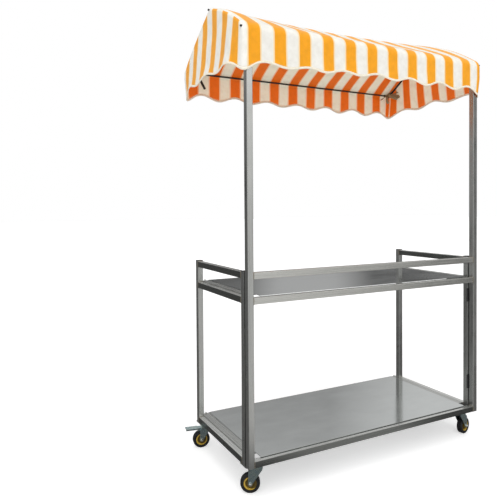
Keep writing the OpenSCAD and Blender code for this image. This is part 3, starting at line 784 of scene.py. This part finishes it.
class CoverShape:
    """The cover as a tent-shaped sheet: a roof strip that runs from hem to hem, and two gables."""

    SKIRT_TOP = 1.665  # The hem's waves and droops are cut out of the straight skirt below this.
    FLARE_TOP = 1.80  # The gables swing out below this height.
    LEFT_DROP = 0.011  # The left third of the front hem hangs lower by this.
    LEFT_START, LEFT_WIDTH = 0.05, 0.30  # It begins left of the middle, over this width.
    GABLE_DROP = 0.010  # Each gable's hem hangs lower by this at its front.
    GABLE_LIFT = 0.008  # Each gable's hem rises by this in its middle.
    FRONT_LEFT_DROOP, FRONT_RIGHT_DROOP, BACK_DROOP = 0.020, 0.013, 0.010  # Droop of the corners.
    DROOP_WIDTH = 0.045  # Distance over which a corner's droop fades.
    WAVE_SHIFT = 0.016  # One wave of the front hem lies off its place by this.
    SHIFT_PLACE, SHIFT_WIDTH = 0.36, 0.12  # Where it lies, left of the middle, and how wide it is.
    FRONT_PULL, BACK_PULL = 0.014, 0.010  # The corners' hems draw in: front right, and both back.
    PULL_WIDTH = 0.07  # Distance over which a corner's pull, and the gathered cloth, fade.
    END_WIDTH = 0.06  # Width of the front's and back's ends that draw in with the corners.
    FOLD_PLACE, FOLD_WIDTH = 0.65, 0.055  # Place of a gable's fold, as a share of its half, and width.
    FOLD_BLEND = 0.03  # Height over which the roof's sag begins above a fold.
    SEAM, SEAM_FADE = 0.012, 0.05  # Creases keep off the gables' seams by this, and fade in over this.
    ROD_SHARE = 0.09  # Share of the front slope that lies on the front rod.
    GABLE_CREASE, ROOF_CREASE = 0.0022, 0.0013  # Size of the loose creases.

    def __init__(self, sizes):
        low, high = (np.array(corner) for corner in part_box("canopy_cover"))
        self.sizes = sizes
        self.reach = float(high[0])
        self.half_depth = float(high[1])
        self.low = float(low[2])
        self.outline = self.make_outline()
        along = distances(self.outline)
        self.from_hem = np.minimum(along, along[-1] - along)
        self.cut_length = float(along[-1])
        tangent = unit(np.gradient(self.outline, axis=0))
        self.normal = np.stack([-tangent[:, 1], tangent[:, 0]], axis=1)
        rng = np.random.default_rng(7)
        # Loose creases: soft waves of 0.09 to 0.35 m in seeded directions.
        self.creases = [
            (
                rng.normal(size=3) * rng.uniform(18, 70) / 1.7,
                rng.uniform(0, 2 * math.pi),
                rng.uniform(0.3, 1),
            )
            for _ in range(14)
        ]

    def make_outline(self):
        """Y and Z of the cover's section, from the front hem over the ridge to the back hem."""
        s, d = self.sizes, self.half_depth
        front_hem, back_hem = np.array([-d, self.low]), np.array([d, self.low])
        front, back = np.array([-d, s.front_fold_z]), np.array([d, s.back_fold_z])
        ridge = np.array([s.ridge_y, s.ridge_z])
        top = rounded_corner(front, ridge, back, s.ridge_radius, 17)
        half = len(top) // 2
        front_fold = rounded_corner(front_hem, front, ridge, s.front_radius)
        back_fold = rounded_corner(ridge, back, back_hem, s.back_radius)
        front_line = np.vstack([front_hem, front_fold, top[: half + 1]])
        back_line = np.vstack([top[half:], back_fold, back_hem])
        rows = s.half_rows + 1
        line = np.vstack([even_points(front_line, rows), even_points(back_line, rows)[1:]])
        # Each slope stands out from its straight line as a half sine.
        run = self.slope_run(line[:, 0])
        on_front = line[:, 0] < s.ridge_y
        bulge = np.where(on_front, s.front_bulge, s.back_bulge) * np.sin(math.pi * run)
        foot = np.where(on_front, s.front_fold_z - s.front_radius, s.back_fold_z)
        return line + np.array([0, 1]) * (bulge * ramp(line[:, 1] - foot, self.FOLD_BLEND))[:, None]

    def slope_run(self, y):
        """Share of the way up a roof slope: 0 at its fold and 1 at the ridge."""
        s, d = self.sizes, self.half_depth
        front_run = ramp(y + d, s.ridge_y + d)
        back_run = ramp(d - y, d - s.ridge_y)
        return np.where(y < s.ridge_y, front_run, back_run)

    def hem_height(self, x, y, on_gable):
        """Height of the hem: a mean that falls to the back, a wave, and a droop at each corner."""
        s, d = self.sizes, self.half_depth
        mean = (s.hem_front_z + s.hem_back_z) / 2 - (s.hem_front_z - s.hem_back_z) / 2 * y / d
        # The left third of the front hem, and each gable's front half, hang lower and flatter.
        to_left = np.where((y < 0) & ~on_gable, ramp(-self.LEFT_START - x, self.LEFT_WIDTH), 0)
        to_front = np.where(on_gable, ramp(-y, d), 0)
        calm = np.maximum(to_left, 0.6 * to_front)
        mean = mean - self.LEFT_DROP * to_left - self.GABLE_DROP * to_front
        shifted = x - self.WAVE_SHIFT * np.where(y < 0, hump(x + self.SHIFT_PLACE, self.SHIFT_WIDTH), 0)
        lift = self.GABLE_LIFT * (1 - (y / d) ** 2)
        gable_pitch = 2 * d / 3
        wave = np.where(
            on_gable,
            -np.cos(2 * math.pi * (y + d) / gable_pitch),
            np.cos(2 * math.pi * shifted / s.wave_pitch),
        ) * (1 - 0.35 * calm)
        uneven = 1 + 0.22 * np.sin(7.3 * x + 2.1) * np.cos(9.1 * y + 0.4)
        to_corner = np.where(on_gable, d - np.abs(y), self.reach - np.abs(x))
        front_droop = np.where(x < 0, self.FRONT_LEFT_DROOP, self.FRONT_RIGHT_DROOP)
        depth = np.where(y < 0, front_droop, self.BACK_DROOP)
        droop = depth * hump(to_corner, self.DROOP_WIDTH)
        return mean + np.where(on_gable, lift, 0) + s.wave_height * uneven * wave - droop

    def hang(self, points, on_gable, x_flat):
        """Lets the flat-sided tent hang as cloth does: cut hem, sagging roof, flared skirt, creases."""
        s, d = self.sizes, self.half_depth
        x, y, z = points[..., 0], points[..., 1], points[..., 2]
        hem = self.hem_height(x_flat, np.clip(y, -d, d), on_gable)
        share = ramp(self.SKIRT_TOP - z, self.SKIRT_TOP - self.low)
        new_z = np.where(z < self.SKIRT_TOP, self.SKIRT_TOP - share * (self.SKIRT_TOP - hem), z)
        # Roof between its rods: its middle loses the bulge of its ends and follows the bowed ridge rod.
        run = self.slope_run(y)
        held = 1 - np.clip(x_flat / (0.95 * self.reach), -1, 1) ** 2
        roof = ramp(z - s.back_fold_z, self.FOLD_BLEND)
        uneven = 1 + 0.35 * np.sin(5.2 * x_flat + 0.7)
        bulge = np.where(y < s.ridge_y, s.front_bulge, s.back_bulge)
        # The cloth lies on the front rod, so it sags only behind it.
        free = ramp(run - self.ROD_SHARE, 1 - self.ROD_SHARE)
        dip = np.where(y < s.ridge_y, s.front_dip, 0) * (1 - free)
        sag = (bulge + s.roof_sag * uneven) * np.sin(math.pi * free) + s.ridge_sag * free + dip
        new_z = new_z - np.where(on_gable, 0, sag * held * roof)
        # Skirt: gables swing out, the front and back flutter with the hem's wave.
        fall = ramp(self.FLARE_TOP - z, self.FLARE_TOP - self.low)
        swing = s.gable_flare * fall**1.3 * np.clip(1 - (y / d) ** 2, 0, 1) ** 0.8
        right_pull = self.FRONT_PULL * share * (x_flat > 0)
        back_pull = self.BACK_PULL * share
        pull = back_pull * hump(d - y, self.PULL_WIDTH) + right_pull * hump(d + y, self.PULL_WIDTH)
        # An upright fold stands out of each gable near its front edge.
        fold = s.gable_fold * fall * hump(y + self.FOLD_PLACE * d, self.FOLD_WIDTH)
        new_x = x + np.sign(x_flat) * np.where(on_gable, swing + fold - pull, 0)
        near_end = ramp(np.abs(x_flat) - self.reach + self.END_WIDTH, self.END_WIDTH)
        end_pull = np.where(y > 0, back_pull, right_pull)
        new_x = new_x - np.sign(x_flat) * np.where(on_gable, 0, end_pull * near_end)
        flutter = share * (0.003 - 0.0035 * np.cos(2 * math.pi * x_flat / s.wave_pitch)) * held
        new_y = y + np.where(on_gable, 0, np.sign(y) * flutter)
        crease = sum(a * np.sin(points @ k + p) for k, p, a in self.creases) / 7
        calm = np.clip((self.reach - np.abs(x_flat)) / 0.05, 0.25, 1)
        size = np.where(on_gable, self.GABLE_CREASE, self.ROOF_CREASE * calm)
        outward_x = np.where(on_gable, np.sign(x_flat), 0)
        new_x = new_x + outward_x * size * crease * self.off_border(on_gable, points)
        new_z = new_z + np.where(on_gable, 0, size * crease * roof * held)
        new_y = new_y + np.where(on_gable, 0, np.sign(y) * size * crease * (1 - roof) * held)
        return np.stack([new_x, new_y, new_z], axis=-1)

    def off_border(self, on_gable, points):
        """0 on a gable's sewn edges and 1 well inside it, so that the edges stay joined."""
        y, z = points[..., 1], points[..., 2]
        s, d = self.sizes, self.half_depth
        slope_front = (s.ridge_z - s.front_fold_z) / (s.ridge_y + d)
        slope_back = (s.ridge_z - s.back_fold_z) / (d - s.ridge_y)
        roof_z = np.where(
            y < s.ridge_y, s.front_fold_z + (y + d) * slope_front, s.back_fold_z + (d - y) * slope_back
        )
        inside = np.minimum(d - np.abs(y), roof_z - z)
        return np.where(on_gable, ramp(inside - self.SEAM, self.SEAM_FADE), 1)

    def roof(self):
        """Roof strip: point (i, j) is outline point i carried to X number j, its ends rounded.

        Within one side radius of an end, the strip turns down through 45 degrees.
        """
        s = self.sizes
        x = np.linspace(-self.reach, self.reach, s.columns + 1)
        turn = math.pi / 4 * np.clip(1 - (self.reach - np.abs(x)) / s.side_radius, 0, 1)
        edge = self.reach - s.side_radius + s.side_radius * np.sin(turn)
        bent_x = np.where(turn > 0, np.sign(x) * edge, x)
        inset = s.side_radius * (1 - np.cos(turn))
        points = np.zeros((len(self.outline), len(x), 3))
        points[:, :, 0] = bent_x[None, :]
        points[:, :, 1:] = self.outline[:, None, :] - self.normal[:, None, :] * inset[None, :, None]
        flat = np.broadcast_to(x[None, :], points.shape[:2])
        hung = self.hang(points, np.zeros(points.shape[:2], dtype=bool), flat)
        # The cloth is gathered towards its right end, so the stripes run out sooner there.
        cut_x = x + s.right_gather * ramp(x - self.reach + self.PULL_WIDTH, self.PULL_WIDTH)
        across = np.broadcast_to(cut_x[None, :], points.shape[:2])
        up = np.broadcast_to(self.from_hem[:, None], points.shape[:2])
        return hung, np.stack([across, up], axis=-1)

    def gable(self, side):
        """Gable: point (i, j) lies at share j between front outline point i and its back partner.

        Within one side radius of the outline it turns through 45 degrees to meet the roof.
        """
        s = self.sizes
        n = s.half_rows
        front, back = self.outline[: n + 1], self.outline[n:][::-1]
        share = np.linspace(0, 1, s.gable_columns + 1)[None, :, None]
        flat = front[:, None, :] * (1 - share) + back[:, None, :] * share
        chord = np.linalg.norm(back - front, axis=1)
        row = unit(back - front)
        lean_front = np.abs((row * self.normal[: n + 1]).sum(axis=1))
        lean_back = np.abs((row * self.normal[n:][::-1]).sum(axis=1))
        to_front = chord[:, None] * share[..., 0] * lean_front[:, None]
        to_back = chord[:, None] * (1 - share[..., 0]) * lean_back[:, None]
        distance = np.minimum(to_front, to_back)
        nearer = (to_front <= to_back)[..., None]
        normal = np.where(nearer, self.normal[: n + 1][:, None, :], self.normal[n:][::-1][:, None, :])
        turn = math.pi / 4 * np.clip(1 - distance / s.side_radius, 0, 1)
        inset = s.side_radius * (1 - np.sin(turn))
        move = np.where(turn > 0, inset - distance, 0)
        points = np.zeros((*flat.shape[:2], 3))
        points[..., 0] = side * (self.reach - s.side_radius + s.side_radius * np.cos(turn))
        points[..., 1:] = flat - normal * move[..., None]
        sides = np.full(points.shape[:2], side * self.reach)
        hung = self.hang(points, np.ones(points.shape[:2], dtype=bool), sides)
        # The gable's cloth is gathered by a tenth, and its stripes carry on from the front's.
        across = side * (self.reach + 1.09 * (flat[..., 0] + self.half_depth)) + (side > 0) * s.right_gather
        up = np.broadcast_to(self.from_hem[: n + 1][:, None], across.shape)
        return hung, np.stack([across, up], axis=-1)

    def mesh(self):
        """All points, faces and cut-cloth places, the gables sharing the roof strip's end points."""
        s = self.sizes
        n, rows, columns = s.half_rows, 2 * s.half_rows + 1, s.columns + 1
        roof, roof_cut = self.roof()
        points, faces, places = [roof.reshape(-1, 3)], grid_faces(rows, columns), []
        flat_cut = roof_cut.reshape(-1, 2)
        faces = flip(faces)
        places += [flat_cut[face] for face in faces]
        start = rows * columns
        for side in (-1, 1):
            gable, cut = self.gable(side)
            inner = gable[:n, 1:-1]
            numbers = np.zeros((n + 1, s.gable_columns + 1), dtype=int)
            numbers[:n, 1:-1] = start + np.arange(inner.shape[0] * inner.shape[1]).reshape(inner.shape[:2])
            column = 0 if side < 0 else columns - 1
            numbers[:, 0] = np.arange(n + 1) * columns + column
            numbers[:, -1] = (rows - 1 - np.arange(n + 1)) * columns + column
            numbers[n, :] = n * columns + column
            points.append(inner.reshape(-1, 3))
            start += inner.shape[0] * inner.shape[1]
            grid = np.array(grid_faces(n + 1, s.gable_columns + 1))
            if side > 0:
                grid = grid[:, ::-1]
            flat_numbers, flat_places = numbers.reshape(-1), cut.reshape(-1, 2)
            for face in grid:
                named = flat_numbers[face]
                keep = [k for k in range(4) if named[k] != named[k - 1]]
                faces.append(named[keep].tolist())
                places.append(flat_places[face][keep])
        return np.vstack(points), faces, np.vstack(places)

    def hem_loop(self, rise):
        """Closed line round the cover at a given distance above the hem."""
        roof, _ = self.roof()
        left, _ = self.gable(-1)
        right, _ = self.gable(1)

        def at(grid_from_hem, rows):
            place = rise / max(rows[1] - rows[0], 1e-9)
            low = int(place)
            share = place - low
            return grid_from_hem[low] * (1 - share) + grid_from_hem[low + 1] * share

        step = self.from_hem
        front, back = at(roof, step), at(roof[::-1], step)[::-1]
        return np.vstack([front[:-1], at(right, step)[:-1], back[:-1], at(left, step)[::-1][:-1]])


def hem_binding(shape, sizes, material):
    """Tape folded over the hem: a flat round-cornered section carried round the cover's edge."""
    edge = shape.hem_loop(0.0)
    above = shape.hem_loop(sizes.binding_height)
    up = unit(above - edge)
    along = unit(np.roll(edge, -1, axis=0) - np.roll(edge, 1, axis=0))
    out = unit(np.cross(along, up))
    height, half = sizes.binding_height, 1.3 * MM
    section = np.array(
        [(-half, 0), (0, -0.9 * MM), (half, 0), (half, height), (0, height + 0.3 * MM), (-half, height)]
    )
    path = edge - out * sizes.cloth / 2
    points, faces = sweep_section(path, out, up, section, closed=True)
    made = make_piece("cover_hem_binding", points, faces, "canopy", [material])
    tape_places(made, np.repeat(distances(edge), len(section)))
    outward(made)
    return made


def tape_places(made, along):
    """UV map of a tape: U is the distance along it, V is 0."""
    layer = made.data.uv_layers.new(name="tape")
    corners = np.zeros(len(made.data.loops), dtype=np.int32)
    made.data.loops.foreach_get("vertex_index", corners)
    places = np.stack([along[corners], np.zeros(len(corners))], axis=1)
    layer.data.foreach_set("uv", places.astype(np.float32).ravel())


class CART_OT_canopy_cover(bpy.types.Operator):
    """Makes the striped cover and the binding of its hem"""

    bl_idname = "cart.canopy_cover"
    bl_label = "Canopy Cover"

    def execute(self, context):
        sizes, colours = context.scene.cart_cover, context.scene.cart_cloth
        outside = striped_polyester(
            "striped_polyester_outside",
            sizes,
            colours.bright,
            colours.plain,
            colours.edge,
            colours.plain_shade,
        )
        inside = striped_polyester(
            "striped_polyester_inside",
            sizes,
            colours.bright_inside,
            colours.plain_inside,
            colours.edge_inside,
            shaded(colours.plain_inside, 0.86),
            glow=colours.daylight,
        )
        shape = CoverShape(sizes)
        points, faces, places = shape.mesh()
        cover = make_piece("canopy_cloth", points, faces, "canopy", [outside, inside])
        layer = cover.data.uv_layers.new(name="cut_cloth")
        layer.data.foreach_set("uv", places.astype(np.float32).ravel())
        wall = cover.modifiers.new("cloth_thickness", "SOLIDIFY")
        wall.thickness = sizes.cloth
        wall.offset = -1
        wall.material_offset = 1
        wall.use_rim = True
        tape = woven_tape("woven_hem_tape", colours.binding, 0.9)
        binding = hem_binding(shape, sizes, tape)
        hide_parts("canopy_cover")
        return {"FINISHED"}


# ---------------------------------------------------------------- ribbons


def ribbon(name, knots, across, width, material, count=60):
    """Flat tape, 1 mm thick, carried along a smooth path; its width turns from one way to another."""
    path = smooth_path(knots, count)
    along = unit(np.gradient(path, axis=0))
    share = np.linspace(0, 1, count)[:, None]
    way = np.asarray(across[0]) * (1 - share) + np.asarray(across[1]) * share
    way = unit(way - along * (way * along).sum(axis=1, keepdims=True))
    face = np.cross(along, way)
    half, thin = width / 2, 0.5 * MM
    section = np.array([(-half, -thin), (half, -thin), (half, thin), (-half, thin)])
    points, faces = sweep_section(path, way, face, section, closed=False)
    made = make_piece(name, points, faces, "canopy", [material])
    tape_places(made, np.repeat(distances(path), len(section)))
    outward(made)
    return made


class CART_OT_ribbons(bpy.types.Operator):
    """Ties the cover to the back rod: a ribbon bow on the right, a dark strap on the left"""

    bl_idname = "cart.ribbons"
    bl_label = "Ribbons"

    def execute(self, context):
        colours = context.scene.cart_cloth
        khaki = woven_tape("woven_khaki_ribbon", colours.ribbon, 0.7)
        dark = woven_tape("woven_dark_strap", colours.strap, 0.7)
        low, high = (np.array(corner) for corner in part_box("cover_ties"))
        y, z = (low[1] + high[1]) / 2, (low[2] + high[2]) / 2
        knot = np.array([high[0] + 0.060, y - 0.012, z])
        wraps = {"left": (low[0] - 0.045, dark), "right": (knot[0], khaki)}
        turn = np.linspace(0, 2.2 * math.pi, 12)
        for side, (x, tape) in wraps.items():
            coil = [x + 0.004 * np.sin(turn / 2), y + 0.0062 * np.cos(turn), z + 0.0062 * np.sin(turn)]
            ribbon(f"{side}_tie_wrap", np.stack(coil, 1), ((1, 0, 0), (1, 0, 0)), 0.014, tape)
        # Steps from the knot along each part of the bow, in millimetres.
        ways = {
            "loop_up": [(0, 0, 0), (22, -12, 18), (46, -22, 30), (44, -34, 12), (4, -8, 0)],
            "loop_right": [(0, 0, 0), (20, -20, -4), (46, -40, -6), (34, -44, -22), (2, -10, -2)],
            "tail_left": [(0, 0, 0), (-18, -12, -10), (-40, -20, -20), (-64, -26, -36)],
            "tail_short": [(0, 0, 0), (-10, -14, -16), (-16, -22, -34), (-12, -26, -50)],
        }
        for name, way in ways.items():
            knots = knot + np.array(way) * MM
            ribbon(f"bow_{name}", knots, ((0.2, -0.6, 0.8), (0.5, -0.8, 0.2)), 0.015, khaki)
        start = np.array([wraps["left"][0], y - 0.008, z - 0.004])
        fall = start + np.array([(0, 0, 0), (8, -4, -22), (20, -6, -46), (32, -5, -66)]) * MM
        ribbon("strap_tail", fall, ((1, 0, 0), (0.9, -0.3, 0.3)), 0.011, dark)
        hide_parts("cover_ties")
        return {"FINISHED"}


# ---------------------------------------------------------------- stage


class CART_OT_stage(bpy.types.Operator):
    """Sets up the floor, the lights, the world and the camera"""

    bl_idname = "cart.stage"
    bl_label = "Stage"

    def execute(self, context):
        scene, stage = context.scene, context.scene.cart_stage
        scene.view_settings.view_transform = "Standard"
        half = 40.0
        corners = np.array([(-half, -half, 0), (half, -half, 0), (half, half, 0), (-half, half, 0)])
        mesh = bpy.data.meshes.new("studio_floor")
        mesh.from_pydata(corners.tolist(), [], [(0, 1, 2, 3)])
        mesh.materials.append(stage_floor("pale_floor", stage.floor, stage.lift))
        floor = bpy.data.objects.new("studio_floor", mesh)
        scene.collection.objects.link(floor)
        for name, power, spread_deg, way in (
            ("overhead_lamp", stage.key, 30, (0.04, 0.10, -0.99)),
            ("front_lamp", stage.fill, 70, (0.50, 0.72, -0.48)),
        ):
            lamp = bpy.data.lights.new(name, "SUN")
            lamp.energy = power
            lamp.angle = math.radians(spread_deg)
            made = bpy.data.objects.new(name, lamp)
            made.rotation_euler = direction_turn(way)
            made.visible_glossy = False
            scene.collection.objects.link(made)
        studio_world(scene, stage)
        lens = bpy.data.cameras.new("view_camera")
        lens.lens, lens.sensor_width = stage.lens, 36
        lens.shift_x, lens.shift_y = stage.shift_x, stage.shift_y
        camera = bpy.data.objects.new("view_camera", lens)
        place = Matrix.Translation(stage.camera_place)
        turn = Matrix.Rotation(-math.radians(stage.heading), 4, "Z")
        tip = Matrix.Rotation(math.radians(90 + stage.tilt), 4, "X")
        camera.matrix_world = place @ turn @ tip @ Matrix.Rotation(math.radians(stage.roll), 4, "Z")
        scene.collection.objects.link(camera)
        scene.camera = camera
        return {"FINISHED"}


def direction_turn(way):
    """Euler turn that points a lamp's -Z along a direction."""
    x, y, z = unit(np.array(way, float))
    return (math.acos(-z), 0, math.atan2(-x, y))


def studio_world(scene, stage):
    """White to the camera, even light on cloth, and for metal a dim room with a ceiling and soft boxes.

    A wide soft box stands at the front left, brightest at its top. Behind the cart one narrow box
    stands low, and a softer one stands higher and further to the right.
    """
    world = bpy.data.worlds.new("studio_world")
    scene.world = world
    world.use_nodes = True
    tree = world.node_tree
    path = node(tree, "LightPath").node.outputs
    way = node(tree, "TexCoord", output="Generated")
    up = node(tree, "SeparateXYZ", (way,), "Z")
    ceiling = node(tree, "MapRange", (up, 0.04, 0.60, 0, 0.85))
    room = node(tree, "Math", (ceiling, soft_box(tree, way, FRONT_BOX)), operation="MAXIMUM")
    for box in (TOP_BOX, BACK_BOX, HIGH_BOX):
        room = node(tree, "Math", (room, soft_box(tree, way, box)), operation="ADD")
    mirrored = path["Is Glossy Ray"]
    white = node(tree, "Math", (path["Is Camera Ray"], path["Is Transmission Ray"]), operation="MAXIMUM")
    special = node(tree, "Math", (white, mirrored), operation="MAXIMUM")
    rest = node(tree, "Math", (1.0, special), operation="SUBTRACT")
    even = node(tree, "Math", (rest, stage.sky), operation="MULTIPLY")
    metal = node(tree, "Math", (mirrored, room), operation="MULTIPLY")
    shown = node(tree, "Math", (white, metal), operation="ADD")
    strength = node(tree, "Math", (even, shown), operation="ADD")
    wire(tree, tree.nodes["Background"], {"Color": (1, 1, 1), "Strength": strength})


# ---------------------------------------------------------------- panel and registration


OPERATORS = (
    CART_OT_stage,
    CART_OT_front_frame,
    CART_OT_end_frames,
    CART_OT_panels,
    CART_OT_hinges,
    CART_OT_casters,
    CART_OT_canopy_frame,
    CART_OT_canopy_cover,
    CART_OT_ribbons,
)

GROUPS = {
    "cart_steel": SteelFinish,
    "cart_casters": CasterFinish,
    "cart_cover": CoverSizes,
    "cart_cloth": CoverColours,
    "cart_stage": StageSettings,
}


class CART_PT_panel(bpy.types.Panel):
    """Lists the cart's pieces and their settings"""

    bl_idname = "CART_PT_panel"
    bl_label = "Vending Cart"
    bl_space_type = "VIEW_3D"
    bl_region_type = "UI"
    bl_category = "Cart"

    def draw(self, context):
        for operator in OPERATORS:
            self.layout.operator(operator.bl_idname)
        for name, group in GROUPS.items():
            box = self.layout.box()
            box.label(text=group.__name__)
            for setting in group.__annotations__:
                box.prop(getattr(context.scene, name), setting)


def register():
    """Registers the classes and hangs the settings on the scene."""
    for kind in (*GROUPS.values(), *OPERATORS, CART_PT_panel):
        bpy.utils.register_class(kind)
    for name, group in GROUPS.items():
        setattr(bpy.types.Scene, name, PointerProperty(type=group))


def unregister():
    """Undoes register."""
    for name in GROUPS:
        delattr(bpy.types.Scene, name)
    for kind in (CART_PT_panel, *reversed(OPERATORS), *reversed(GROUPS.values())):
        bpy.utils.unregister_class(kind)


def main():
    register()
    bpy.ops.cart.stage()
    bpy.ops.cart.front_frame()
    bpy.ops.cart.end_frames()
    bpy.ops.cart.panels()
    bpy.ops.cart.hinges()
    bpy.ops.cart.casters()
    bpy.ops.cart.canopy_frame()
    bpy.ops.cart.canopy_cover()
    bpy.ops.cart.ribbons()


if __name__ == "__main__":
    main()
